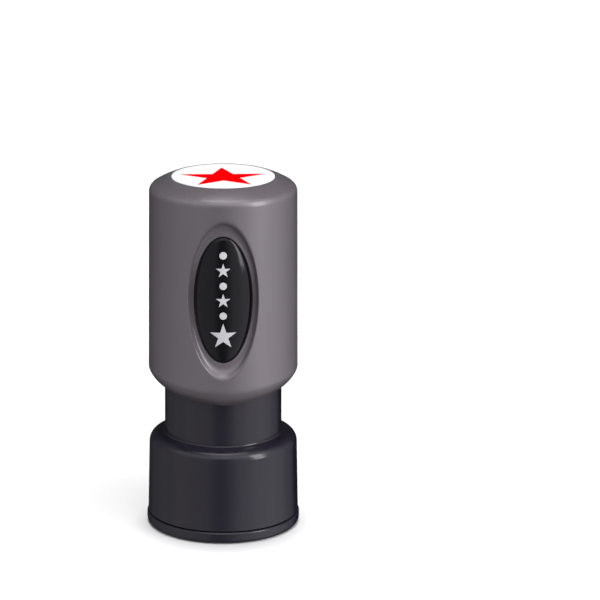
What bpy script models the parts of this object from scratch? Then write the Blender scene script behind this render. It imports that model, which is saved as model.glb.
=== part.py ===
"""Pre-inked round hand stamp with a spring-loaded skirt and a dust cap.

The frame is in metres with +Z up. The origin is the centre of the dust cap's underside, and the oval
badge is on the -Y side. The dimensions below are in millimetres. Every turned piece is a profile of
(radius, height) points spun round Z, so one list reads as the section that a lathe would cut.

How it works: the handle pushes on the stem of the die holder. The stem slides through the skirt's
web, the spring closes, and the die comes down to the plane of the skirt's lower edge.
"""

import math

import bmesh
import bpy
from mathutils import Matrix, Vector

MM = 0.001

# Driving dimensions.
STROKE = 5.6  # handle travel from rest to print
FIT = 0.1  # gap between pieces that rest on each other
SLIDE = 0.12  # gap round the stem where a piece slides on it
PAPER_Z = 2.1  # plane of the skirt's lower edge
SKIRT_TOP_Z = 44.0  # upper end of the neck, inside the handle
NECK_R = 9.95  # neck radius at its foot
NECK_BORE_R = 8.5
SKIRT_HIGH_R = 12.6
SHOULDER_Z = 16.1  # flat top of the shoulder, round the neck
SHOULDER_ROUND = 1.8
WEB_TOP_Z = 17.1  # web across the skirt, which the spring stands on
WEB_LOW_Z = 15.0
PLATE_Z = WEB_LOW_Z - 0.3  # top of the die holder, which stops under the web
CEILING_Z = PLATE_Z - 1.4  # inside of the die holder
HANDLE_EDGE_Z = 23.8  # lowest point of the handle's edge, front and back
HANDLE_RIM_Z = 60.67  # crest of the ring round the label
HANDLE_LOW_R = 12.64
HANDLE_HIGH_R = 12.41
HANDLE_BORE_R = 10.3
SEAT_Z = HANDLE_RIM_Z - 0.5  # floor of the label's seat
SEAT_R = 8.78
STEM_R = 2.9
STEM_FOOT_R = 2.2
STEM_BORE_R = 1.45
STEM_TOP_Z = 55.0
BUSH_R = 3.9
CAP_R = 13.05
CAP_RIM_Z = PAPER_Z - FIT
DIE_FACE_Z = PAPER_Z + STROKE - FIT
DIE_FLANGE_R = 8.75

# Height of the clip on the stem. Each groove: bottom, top, radius at its floor.
CLIP_Z = 37.87
CLIP_GROOVE = (CLIP_Z - 0.07, CLIP_Z + 0.63, 2.3)
RING_GROOVE = (49.45, 50.55, 2.08)

# Segments round a full turn.
LARGE = 48
SMALL = 32

# Where the straight wall of the handle starts and ends.
WALL_LOW_Z = HANDLE_EDGE_Z + 3.25
WALL_HIGH_Z = 58.08

# The handle's lower edge is higher at its two sides than at the front and back.
EDGE_LIFT = 1.25
EDGE_LIFT_POWER = 1.3
EDGE_LIFT_END_Z = 33.0

# Oval recess in the front wall of the handle, and the badge in it: half width, half height, centre.
RECESS_OUTER = (5.8, 13.3, 42.4)
RECESS_SLOPE = (5.55, 12.5, 42.35)
RECESS_LEDGE = (5.4, 11.75, 42.3)
RECESS_POCKET = (4.87, 10.85, 42.25)
BADGE_OVAL = (4.77, 10.75, 42.25)
LEDGE_DEPTH = 1.2
POCKET_DEPTH = 1.5
BADGE_DOME = 1.0
OVAL_POINTS = 40


def clear_scene():
    for old in list(bpy.data.objects):
        bpy.data.objects.remove(old, do_unlink=True)


def material(name, color, roughness, metallic=0.0):
    made = bpy.data.materials.new(name)
    made.use_nodes = True
    shader = made.node_tree.nodes["Principled BSDF"]
    shader.inputs["Base Color"].default_value = (*color, 1.0)
    shader.inputs["Roughness"].default_value = roughness
    shader.inputs["Metallic"].default_value = metallic
    return made


def arc(start, radius, from_deg, to_deg, steps):
    """Points after start on an arc whose outward normal turns from from_deg to to_deg.

    The angle is measured up from horizontal. A negative radius makes the arc hollow.
    """
    first = math.radians(from_deg)
    centre_r = start[0] - radius * math.cos(first)
    centre_z = start[1] - radius * math.sin(first)
    points = []
    for step in range(1, steps + 1):
        angle = math.radians(from_deg + (to_deg - from_deg) * step / steps)
        points.append((centre_r + radius * math.cos(angle), centre_z + radius * math.sin(angle)))
    return points


def add_object(name, bm, made_of, smooth_deg=35.0):
    mesh = bpy.data.meshes.new(name)
    bmesh.ops.recalc_face_normals(bm, faces=bm.faces)
    bm.to_mesh(mesh)
    bm.free()
    mesh.materials.append(made_of)
    mesh.shade_smooth()
    mesh.set_sharp_from_angle(angle=math.radians(smooth_deg))
    made = bpy.data.objects.new(name, mesh)
    bpy.context.scene.collection.objects.link(made)
    return made


def spun(profile, segments):
    """A bmesh of the profile turned round Z. Its ends are on the axis, or it is a closed loop."""
    on_axis = profile[0][0] == 0 and profile[-1][0] == 0
    bm = bmesh.new()
    verts = [bm.verts.new((r * MM, 0.0, z * MM)) for r, z in profile]
    edges = [bm.edges.new(pair) for pair in zip(verts, verts[1:])]
    if not on_axis:
        edges.append(bm.edges.new((verts[-1], verts[0])))
    bmesh.ops.spin(
        bm,
        geom=verts + edges,
        axis=(0, 0, 1),
        cent=(0, 0, 0),
        angle=2 * math.pi,
        steps=segments,
        use_merge=True,
    )
    bmesh.ops.remove_doubles(bm, verts=bm.verts, dist=1e-6)
    return bm


def turned(name, profile, made_of, segments=LARGE):
    return add_object(name, spun(profile, segments), made_of)


def box_cutter(name, low, high):
    """A helper box from corner to corner, in millimetres, that a Boolean joins or subtracts."""
    bm = bmesh.new()
    bmesh.ops.create_cube(bm, size=1.0)
    size = [(b - a) * MM for a, b in zip(low, high)]
    centre = [(a + b) / 2 * MM for a, b in zip(low, high)]
    bmesh.ops.transform(
        bm, verts=bm.verts, matrix=Matrix.Translation(centre) @ Matrix.Diagonal((*size, 1.0))
    )
    return helper(name, bm)


def helper(name, bm):
    mesh = bpy.data.meshes.new(name)
    bmesh.ops.recalc_face_normals(bm, faces=bm.faces)
    bm.to_mesh(mesh)
    bm.free()
    made = bpy.data.objects.new(name, mesh)
    made.hide_render = True
    made.display_type = "WIRE"
    bpy.context.scene.collection.objects.link(made)
    return made


def boolean(target, tool, operation):
    modifier = target.modifiers.new(tool.name, "BOOLEAN")
    modifier.operation = operation
    modifier.solver = "EXACT"
    modifier.object = tool


def handle_wall_radius(z):
    """Outer radius of the straight wall, which narrows upwards by its moulding draft."""
    share = (z - WALL_LOW_Z) / (WALL_HIGH_Z - WALL_LOW_Z)
    return HANDLE_LOW_R + (HANDLE_HIGH_R - HANDLE_LOW_R) * share


def handle_profile():
    """Section of the handle: label seat, rim, wall, lower edge, bore, then the stem socket."""
    points = [(0.0, SEAT_Z), (SEAT_R, SEAT_Z), (SEAT_R, HANDLE_RIM_Z - 0.1), (8.9, HANDLE_RIM_Z)]
    points += arc(points[-1], 14.3, 71, 58.67, 2)
    points += arc(points[-1], 1.5, 58.67, 0, 5)
    points[-1] = (HANDLE_HIGH_R, WALL_HIGH_Z)
    points.append((handle_wall_radius(EDGE_LIFT_END_Z), EDGE_LIFT_END_Z))
    points.append((handle_wall_radius(29.5), 29.5))
    points.append((HANDLE_LOW_R, WALL_LOW_Z))
    points += arc(points[-1], 2.0, 0, -20, 2)
    points += arc(points[-1], 5.2, -20, -58, 4)
    lip_r, inner_r = points[-1][0] - 0.12, NECK_R + 0.2
    points += [(lip_r, HANDLE_EDGE_Z), (inner_r, HANDLE_EDGE_Z + 0.15)]
    points += [(inner_r, HANDLE_EDGE_Z + 2.7), (HANDLE_BORE_R, HANDLE_EDGE_Z + 3.4)]
    ceiling_z = SEAT_Z - 2.57
    points += [(HANDLE_BORE_R, EDGE_LIFT_END_Z), (HANDLE_BORE_R, ceiling_z - 1.0)]
    points.append((HANDLE_BORE_R - 0.8, ceiling_z))
    socket_z, socket_r, socket_bore = 39.2, 5.0, STEM_R + 0.15
    socket_end_z = STEM_TOP_Z + 1.4
    points += [(socket_r + 0.5, ceiling_z), (socket_r, ceiling_z - 0.5)]
    points += [(socket_r, socket_z + 0.3), (socket_r - 0.3, socket_z)]
    points += [(socket_bore + 0.3, socket_z), (socket_bore, socket_z + 0.3)]
    points += [(socket_bore, socket_end_z), (0.0, socket_end_z)]
    return points


def lift_edge(bm):
    """Raises the lower edge at the sides: all of the lift at the edge, fading out above it."""
    for vert in bm.verts:
        z, r = vert.co.z / MM, math.hypot(vert.co.x, vert.co.y) / MM
        if z > EDGE_LIFT_END_Z or r < NECK_R:
            continue
        share = (z - HANDLE_EDGE_Z) / (EDGE_LIFT_END_Z - HANDLE_EDGE_Z)
        fade = 1 - share * share * (3 - 2 * share)
        sideways = abs(vert.co.x) / MM / r
        vert.co.z += EDGE_LIFT * sideways**EDGE_LIFT_POWER * fade * MM


def on_front(oval, angle, depth):
    """A point in metres on an oval drawn on the front wall, at this depth below the wall."""
    half_width, half_height, centre_z = oval
    x = half_width * math.cos(angle)
    z = centre_z + half_height * math.sin(angle)
    radius = handle_wall_radius(z) - depth
    return Vector((x, -math.sqrt(radius * radius - x * x), z)) * MM


def scaled(oval, share):
    return (oval[0] * share, oval[1] * share, oval[2])


def oval_ring(bm, oval, depth):
    turn = 2 * math.pi / OVAL_POINTS
    return [bm.verts.new(on_front(oval, turn * i, depth)) for i in range(OVAL_POINTS)]


def close_rings(bm, rings, first_centre, last_centre):
    """Skins a stack of equal rings and closes both ends with a fan."""
    for low, high in zip(rings, rings[1:]):
        for i in range(OVAL_POINTS):
            j = (i + 1) % OVAL_POINTS
            bm.faces.new((low[i], low[j], high[j], high[i]))
    for ring, centre in ((rings[0], first_centre), (rings[-1], last_centre)):
        middle = bm.verts.new(centre)
        for i in range(OVAL_POINTS):
            bm.faces.new((ring[i], ring[(i + 1) % OVAL_POINTS], middle))


def recess_cutter():
    """The solid that is taken out of the front wall: a sloping side, a ledge and the badge pocket."""
    bm = bmesh.new()
    half_width, half_height, centre_z = RECESS_OUTER
    beyond = (half_width + 1.0, half_height + 1.2, centre_z)
    rings = [
        oval_ring(bm, beyond, -1.4),
        oval_ring(bm, RECESS_OUTER, 0.0),
        oval_ring(bm, RECESS_SLOPE, LEDGE_DEPTH * 0.7),
        oval_ring(bm, RECESS_LEDGE, LEDGE_DEPTH),
        oval_ring(bm, RECESS_POCKET, LEDGE_DEPTH),
        oval_ring(bm, RECESS_POCKET, POCKET_DEPTH),
        oval_ring(bm, scaled(RECESS_POCKET, 0.6), POCKET_DEPTH),
        oval_ring(bm, scaled(RECESS_POCKET, 0.25), POCKET_DEPTH),
    ]
    outside = on_front(scaled(beyond, 0.0), 0.0, -2.2)
    floor = on_front(scaled(RECESS_POCKET, 0.0), 0.0, POCKET_DEPTH)
    close_rings(bm, rings, outside, floor)
    return helper("recess_cutter", bm)


def make_handle(grey):
    bm = spun(handle_profile(), LARGE)
    lift_edge(bm)
    handle = add_object("handle_shell", bm, grey)
    boolean(handle, recess_cutter(), "DIFFERENCE")
    key_top_z = HANDLE_RIM_Z - 2.9
    for side in (-1, 1):
        ends = sorted((side * (NECK_BORE_R + 0.45), side * (HANDLE_BORE_R + 0.6)))
        key = box_cutter("key", (ends[0], -0.9, 34.0), (ends[1], 0.9, key_top_z))
        boolean(handle, key, "UNION")
    return handle


def make_badge(black):
    """Oval plate whose back follows the pocket floor and whose face is domed."""
    bm = bmesh.new()
    back = POCKET_DEPTH - FIT
    rings = [
        oval_ring(bm, scaled(BADGE_OVAL, 0.25), back),
        oval_ring(bm, scaled(BADGE_OVAL, 0.6), back),
        oval_ring(bm, BADGE_OVAL, back),
        oval_ring(bm, BADGE_OVAL, LEDGE_DEPTH),
    ]
    for share in (0.97, 0.9, 0.78, 0.6, 0.35):
        dome = BADGE_DOME * math.sqrt(1 - share * share)
        rings.append(oval_ring(bm, scaled(BADGE_OVAL, share), LEDGE_DEPTH - dome))
    centre = scaled(BADGE_OVAL, 0.0)
    close_rings(bm, rings, on_front(centre, 0.0, back), on_front(centre, 0.0, LEDGE_DEPTH - BADGE_DOME))
    return add_object("badge_plate", bm, black, smooth_deg=50.0)


def make_label(white):
    low_z, high_z, radius = SEAT_Z + FIT, HANDLE_RIM_Z - 0.02, SEAT_R - 0.13
    points = [(0.0, low_z), (radius, low_z), (radius, high_z), (0.0, high_z)]
    return turned("index_label", points, white)


def skirt_profile():
    """Section of the skirt: lower edge, bell, shoulder, neck, neck bore, web, inside."""
    points = [(12.72, PAPER_Z), (12.86, PAPER_Z + 0.15), (SKIRT_HIGH_R, SHOULDER_Z - SHOULDER_ROUND)]
    points += arc(points[-1], SHOULDER_ROUND, 0, 84, 6)
    fillet = 0.35
    points.append((NECK_R + fillet, points[-1][1] + 0.05))
    points += arc(points[-1], -fillet, 90, 0, 3)
    top_r = NECK_R - 0.07
    points += [(top_r, SKIRT_TOP_Z - 0.3), (top_r - 0.3, SKIRT_TOP_Z)]
    points += [(NECK_BORE_R + 0.2, SKIRT_TOP_Z), (NECK_BORE_R, SKIRT_TOP_Z - 0.2)]
    points += [(NECK_BORE_R, WEB_TOP_Z + 0.4), (NECK_BORE_R - 0.4, WEB_TOP_Z)]
    points += [(BUSH_R + FIT, WEB_TOP_Z), (BUSH_R + FIT, WEB_LOW_Z)]
    points += [(9.85, WEB_LOW_Z), (10.7, WEB_LOW_Z - 0.4), (11.1, WEB_LOW_Z - 1.1)]
    points += [(11.2, 13.0), (11.38, PAPER_Z + 0.2), (11.5, PAPER_Z)]
    return points


def make_skirt(black):
    skirt = turned("skirt", skirt_profile(), black)
    for side in (-1, 1):
        ends = sorted((side * (NECK_BORE_R - 1.0), side * (NECK_R + 1.0)))
        slot = box_cutter("slot", (ends[0], -1.15, 28.0), (ends[1], 1.15, SKIRT_TOP_Z + 1.0))
        boolean(skirt, slot, "DIFFERENCE")
    return skirt


def make_stem_bush(nylon):
    """Flanged bush that guides the stem through the web of the skirt."""
    bore_r, flange_r, head_z = STEM_R + SLIDE, 4.55, WEB_TOP_Z + 2.6
    seat_z = WEB_TOP_Z + FIT
    points = [(bore_r, WEB_LOW_Z), (BUSH_R, WEB_LOW_Z), (BUSH_R, seat_z), (flange_r, seat_z)]
    points += [(flange_r, seat_z + 0.8), (BUSH_R, seat_z + 0.8), (BUSH_R, head_z), (bore_r, head_z)]
    return turned("stem_bush", points, nylon, SMALL)


def make_holder(black):
    """Cup for the ink pad and the die, with a hole for the foot of the stem in its plate."""
    cup_r, cup_bore, rim_z = 9.6, DIE_FLANGE_R + 0.15, 8.6
    hole_r = STEM_FOOT_R + FIT
    points = [(cup_r - 0.2, rim_z), (cup_r, rim_z + 0.2), (cup_r, PLATE_Z - 0.5), (cup_r - 0.5, PLATE_Z)]
    points += [(hole_r, PLATE_Z), (hole_r, CEILING_Z), (cup_bore, CEILING_Z), (cup_bore, rim_z)]
    return turned("die_holder", points, black)


def make_stem(plastic):
    """Hollow stem: a foot pressed into the die holder, and grooves for the clip and the O-ring."""
    points = [(STEM_BORE_R, CEILING_Z + FIT), (STEM_FOOT_R, CEILING_Z + FIT)]
    points += [(STEM_FOOT_R, PLATE_Z + FIT), (STEM_R, PLATE_Z + FIT)]
    for low_z, high_z, groove_r in (CLIP_GROOVE, RING_GROOVE):
        points += [(STEM_R, low_z), (groove_r, low_z), (groove_r, high_z), (STEM_R, high_z)]
    points += [(STEM_R, STEM_TOP_Z - 0.4), (STEM_R - 0.4, STEM_TOP_Z), (STEM_BORE_R, STEM_TOP_Z)]
    return turned("stem", points, plastic, SMALL)


def make_filler_plug(rubber):
    """Push-in plug in the top of the stem, where ink is put in."""
    low_z, head_z = STEM_TOP_Z - 4.6, STEM_TOP_Z + FIT
    barrel_r, head_r = STEM_BORE_R - FIT, 2.5
    points = [(0.0, low_z), (barrel_r - 0.3, low_z), (barrel_r, low_z + 0.7), (barrel_r, head_z)]
    points += [(head_r, head_z), (head_r, head_z + 0.7), (head_r - 0.3, head_z + 1.0), (0.0, head_z + 1.0)]
    return turned("filler_plug", points, rubber, 24)


def make_stem_ring(rubber):
    """O-ring that grips the socket of the handle."""
    low_z, high_z, groove_r = RING_GROOVE
    cord_r = 0.4
    centre_r, centre_z = groove_r + cord_r + 0.04, (low_z + high_z) / 2
    turns = [math.radians(45 * i) for i in range(8)]
    profile = [(centre_r + cord_r * math.cos(a), centre_z + cord_r * math.sin(a)) for a in turns]
    return add_object("stem_o_ring", spun(profile, SMALL), rubber, smooth_deg=60.0)


def make_washer(steel):
    """Washer on top of the spring, under the clip."""
    low_z, high_z = CLIP_Z - 0.9, CLIP_Z - FIT
    bore_r, rim_r = STEM_R + SLIDE, 6.3
    points = [(bore_r, low_z), (rim_r - 0.1, low_z), (rim_r, low_z + 0.1)]
    points += [(rim_r, high_z - 0.1), (rim_r - 0.1, high_z), (bore_r, high_z)]
    return turned("spring_washer", points, steel, SMALL)


def clip_outline():
    """Outline of an E-clip: an open ring with three inner prongs, and its mouth towards +X."""
    outer_r, inner_r, prong_r, mouth_deg = 4.3, 3.3, CLIP_GROOVE[2] + SLIDE, 38
    rim = [(outer_r, mouth_deg + (360 - 2 * mouth_deg) * step / 16) for step in range(17)]
    inside = []
    for middle_deg in (304, 180, 56):
        inside += [(prong_r, middle_deg + turn) for turn in (18, 0, -18)]
        if middle_deg > 56:
            inside += [(inner_r, middle_deg + turn) for turn in (-22, -62, -102)]
    turns = [(r, math.radians(degrees)) for r, degrees in rim + inside]
    return [(r * math.cos(angle), r * math.sin(angle)) for r, angle in turns]


def prism(outline, low_z, high_z):
    """A bmesh of a flat outline given in millimetres, extruded up from low_z to high_z."""
    bm = bmesh.new()
    face = bm.faces.new([bm.verts.new((x * MM, y * MM, low_z * MM)) for x, y in outline])
    raised = bmesh.ops.extrude_face_region(bm, geom=[face])["geom"]
    moved = [item for item in raised if isinstance(item, bmesh.types.BMVert)]
    bmesh.ops.translate(bm, verts=moved, vec=(0, 0, (high_z - low_z) * MM))
    return bm


def make_clip(steel):
    return add_object("e_clip", prism(clip_outline(), CLIP_Z, CLIP_Z + 0.5), steel)


def make_spring(steel):
    """Compression spring with a closed turn at each end, standing on the skirt's web."""
    wire_r, coil_r, low_z, high_z = 0.45, 5.25, WEB_TOP_Z + FIT, CLIP_Z - 1.0
    end_pitch, end_turns, turns, steps = 1.05, 1.0, 8.5, 16
    first, last = low_z + wire_r, high_z - wire_r
    free_pitch = (last - first - 2 * end_turns * end_pitch) / (turns - 2 * end_turns)
    curve = bpy.data.curves.new("return_spring", "CURVE")
    curve.dimensions = "3D"
    curve.bevel_depth = wire_r * MM
    curve.bevel_resolution = 1
    curve.use_fill_caps = True
    count = int(turns * steps) + 1
    spline = curve.splines.new("POLY")
    spline.points.add(count - 1)
    for i, point in enumerate(spline.points):
        turn = i / steps
        inside = min(max(turn - end_turns, 0.0), turns - 2 * end_turns)
        z = first + end_pitch * (turn - inside) + free_pitch * inside
        angle = 2 * math.pi * turn
        point.co = (coil_r * math.cos(angle) * MM, coil_r * math.sin(angle) * MM, z * MM, 1.0)
    curve.materials.append(steel)
    made = bpy.data.objects.new("return_spring", curve)
    bpy.context.scene.collection.objects.link(made)
    return made


def make_ink_pad(felt):
    low_z, high_z, radius = 10.95, CEILING_Z - FIT, DIE_FLANGE_R
    points = [(0.0, low_z), (radius, low_z), (radius, high_z), (0.0, high_z)]
    return turned("ink_pad", points, felt, SMALL)


def star_outline(radius, points=5):
    """A five-pointed star with straight arms, one point towards +Y."""
    notch = radius * math.cos(math.radians(72)) / math.cos(math.radians(36))
    step = math.pi / points
    corners = [((radius, notch)[i % 2], step * i) for i in range(2 * points)]
    return [(r * math.sin(angle), r * math.cos(angle)) for r, angle in corners]


def make_die(red):
    """Porous die: a flanged disc with the raised star that prints."""
    base_z, flange_z, top_z = DIE_FACE_Z + 0.6, 9.5, 10.85
    body_r, star_r = 7.9, 7.5
    points = [(0.0, base_z), (body_r, base_z), (body_r, flange_z), (DIE_FLANGE_R, flange_z)]
    points += [(DIE_FLANGE_R, top_z), (0.0, top_z)]
    die = turned("stamp_die", points, red, SMALL)
    relief = helper("star_relief", prism(star_outline(star_r), DIE_FACE_Z, base_z + 0.5))
    boolean(die, relief, "UNION")
    return die


def make_die_ring(black):
    bore_r, rim_r, low_z, high_z = 8.05, 8.8, 8.65, 9.4
    points = [(bore_r + 0.15, low_z), (rim_r, low_z), (rim_r, high_z)]
    points += [(bore_r, high_z), (bore_r, low_z + 0.15)]
    return turned("die_ring", points, black, SMALL)


def make_cap(black):
    """Dust cap: a dish with a proud rim that the skirt stands on, and a ring that plugs its mouth."""
    floor_top, pad_r, pad_z, foot_round = 1.2, 9.3, 0.4, 0.8
    plug_low_r, plug_high_r, plug_top = 10.05, 11.15, 6.5
    points = [(0.0, pad_z), (pad_r, pad_z), (pad_r + 0.3, 0.0), (CAP_R - foot_round, 0.0)]
    points += arc(points[-1], foot_round, -90, 0, 4)
    points += [(CAP_R, CAP_RIM_Z - 0.2), (CAP_R - 0.2, CAP_RIM_Z), (plug_high_r, CAP_RIM_Z)]
    points += [(plug_high_r, plug_top - 0.4), (plug_high_r - 0.3, plug_top), (plug_low_r + 0.2, plug_top)]
    points += [(plug_low_r, plug_top - 0.2), (plug_low_r, floor_top + 0.3), (plug_low_r - 0.3, floor_top)]
    points.append((0.0, floor_top))
    return turned("dust_cap", points, black)


def main():
    clear_scene()
    grey = material("handle_grey", (0.17, 0.155, 0.17), 0.38)
    black = material("skirt_black", (0.016, 0.016, 0.02), 0.22)
    badge = material("badge_black", (0.008, 0.008, 0.009), 0.08)
    holder = material("holder_black", (0.03, 0.03, 0.033), 0.45)
    stem = material("stem_plastic", (0.045, 0.045, 0.05), 0.35)
    nylon = material("bush_nylon", (0.78, 0.77, 0.72), 0.4)
    white = material("label_white", (0.9, 0.9, 0.9), 0.5)
    red = material("die_red", (0.55, 0.02, 0.03), 0.75)
    felt = material("pad_felt", (0.42, 0.03, 0.04), 0.95)
    rubber = material("seal_rubber", (0.02, 0.02, 0.02), 0.7)
    steel = material("spring_steel", (0.6, 0.6, 0.6), 0.25, 1.0)

    make_cap(black)
    make_skirt(black)
    make_spring(steel)
    make_holder(holder)
    make_stem(stem)
    make_stem_bush(nylon)
    make_die_ring(holder)
    make_die(red)
    make_ink_pad(felt)
    make_washer(steel)
    make_clip(steel)
    make_stem_ring(rubber)
    make_filler_plug(rubber)
    make_handle(grey)
    make_badge(badge)
    make_label(white)


main()
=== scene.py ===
"""Looks of the pre-inked hand stamp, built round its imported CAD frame.

Lengths in this file are millimetres unless a name ends in _m. Turned pieces are profiles of
(radius, height) points spun round Z. Angles round the axis start at the badge side (-Y) and grow
towards +X.
"""

import math

import bmesh
import bpy
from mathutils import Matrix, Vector


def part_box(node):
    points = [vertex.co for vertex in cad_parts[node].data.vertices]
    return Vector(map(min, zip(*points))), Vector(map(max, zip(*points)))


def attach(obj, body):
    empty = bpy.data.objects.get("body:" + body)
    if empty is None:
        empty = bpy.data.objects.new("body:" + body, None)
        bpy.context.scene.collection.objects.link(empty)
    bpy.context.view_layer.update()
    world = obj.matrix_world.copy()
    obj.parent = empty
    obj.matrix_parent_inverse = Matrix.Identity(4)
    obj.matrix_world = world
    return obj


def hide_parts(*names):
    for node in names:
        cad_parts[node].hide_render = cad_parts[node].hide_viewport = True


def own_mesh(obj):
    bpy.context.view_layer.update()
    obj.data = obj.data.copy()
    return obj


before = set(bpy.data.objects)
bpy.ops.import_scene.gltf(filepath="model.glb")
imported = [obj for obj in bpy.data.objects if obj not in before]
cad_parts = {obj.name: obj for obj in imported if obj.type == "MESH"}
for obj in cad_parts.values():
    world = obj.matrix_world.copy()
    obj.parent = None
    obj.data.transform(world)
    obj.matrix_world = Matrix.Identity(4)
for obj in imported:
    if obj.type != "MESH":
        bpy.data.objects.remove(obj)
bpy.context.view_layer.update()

MM = 0.001
FINE = 144  # segments round the outside pieces
INNER = 96  # segments round the inside pieces
BADGE_SEGMENTS = 112
TINY = 1e-6


def low(node):
    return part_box(node)[0].z / MM


def high(node):
    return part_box(node)[1].z / MM


def reach(node):
    """Largest radius of a round CAD node, from its box."""
    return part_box(node)[1].y / MM


# ------------------------------------------------------------------ camera, lights, floor

TARGET = Vector((0.0, 0.0, (low("dust_cap") + high("handle_shell")) / 2)) * MM
CAMERA_DISTANCE_M = 0.53
CAMERA_ELEVATION = math.radians(16.8)
CAMERA_LENS = 187.5
CAMERA_SHIFT = (0.128, 0.083)


def aim(thing, at):
    direction = Vector(at) - thing.location
    thing.rotation_euler = direction.to_track_quat("-Z", "Y").to_euler()


def add_camera():
    data = bpy.data.cameras.new("camera")
    data.lens = CAMERA_LENS
    data.sensor_width = 36.0
    data.shift_x, data.shift_y = CAMERA_SHIFT
    data.clip_start = 0.01
    camera = bpy.data.objects.new("camera", data)
    bpy.context.scene.collection.objects.link(camera)
    back = math.cos(CAMERA_ELEVATION) * CAMERA_DISTANCE_M
    up = math.sin(CAMERA_ELEVATION) * CAMERA_DISTANCE_M
    camera.location = TARGET + Vector((0.0, -back, up))
    aim(camera, TARGET)
    bpy.context.scene.camera = camera


def add_light(data, azimuth_deg, elevation_deg, distance_m):
    light = bpy.data.objects.new(data.name, data)
    bpy.context.scene.collection.objects.link(light)
    azimuth, elevation = math.radians(azimuth_deg), math.radians(elevation_deg)
    flat = math.cos(elevation) * distance_m
    light.location = TARGET + Vector(
        (flat * math.sin(azimuth), -flat * math.cos(azimuth), math.sin(elevation) * distance_m)
    )
    aim(light, TARGET)
    light.visible_camera = False
    return light


def add_softbox(name, azimuth_deg, elevation_deg, distance_m, size_m, power):
    data = bpy.data.lights.new(name, "AREA")
    data.shape = "RECTANGLE"
    data.size, data.size_y = size_m
    data.energy = power
    add_light(data, azimuth_deg, elevation_deg, distance_m)


def add_fill(name, azimuth_deg, elevation_deg, spread_deg, brightness):
    """Soft light from far away that brightens surfaces and leaves no highlight on them."""
    data = bpy.data.lights.new(name, "SUN")
    data.angle = math.radians(spread_deg)
    data.energy = brightness * math.pi
    light = add_light(data, azimuth_deg, elevation_deg, 1.0)
    light.visible_glossy = False
    return light


# Brightness of the studio round the stamp, as (degrees round from the badge side, brightness).
# The walls reach from well below the horizon to a little above it. The band and the high ring
# are above them, the lid is overhead and the cellar is below.
STUDIO_WALLS = (
    (-180, 0.03),
    (-150, 0.05),
    (-130, 0.17),
    (-97, 0.4),
    (-70, 0.6),
    (-28, 0.55),
    (-8, 0.21),
    (3, 0.21),
    (12, 0.4),
    (28, 0.8),
    (58, 1.06),
    (80, 1.04),
    (98, 0.76),
    (118, 0.32),
    (147, 0.0),
    (180, 0.03),
)
STUDIO_BAND = (
    (-180, 0.0),
    (-120, 0.2),
    (-75, 0.95),
    (-28, 1.1),
    (2, 1.5),
    (28, 1.4),
    (75, 1.5),
    (96, 0.6),
    (130, 0.1),
    (180, 0.0),
)
STUDIO_HIGH = (
    (-180, 0.02),
    (-110, 0.05),
    (-50, 0.7),
    (25, 1.3),
    (75, 1.0),
    (115, 0.05),
    (180, 0.02),
)
STUDIO_LID = 3.0
STUDIO_CELLAR = 0.22
STUDIO_STRENGTH = 3.0  # the brightest level, which the colour ramps are divided by
LID_TILT = math.radians(-3.0)
LID_DIRECTION = (0.0, math.sin(LID_TILT), math.cos(LID_TILT))
RING_TINT = (0.985, 1.03)  # green and blue of the walls, the band and the high ring, per red

# Heights (sine of the elevation) between which one zone fades into the next. The lid's are
# measured along its own tilted direction.
CELLAR_FADE = (-0.93, -0.6)
BAND_FADE = (0.34, 0.52)
HIGH_FADE = (0.7, 0.84)
LID_FADE = (0.93, 0.975)


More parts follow.
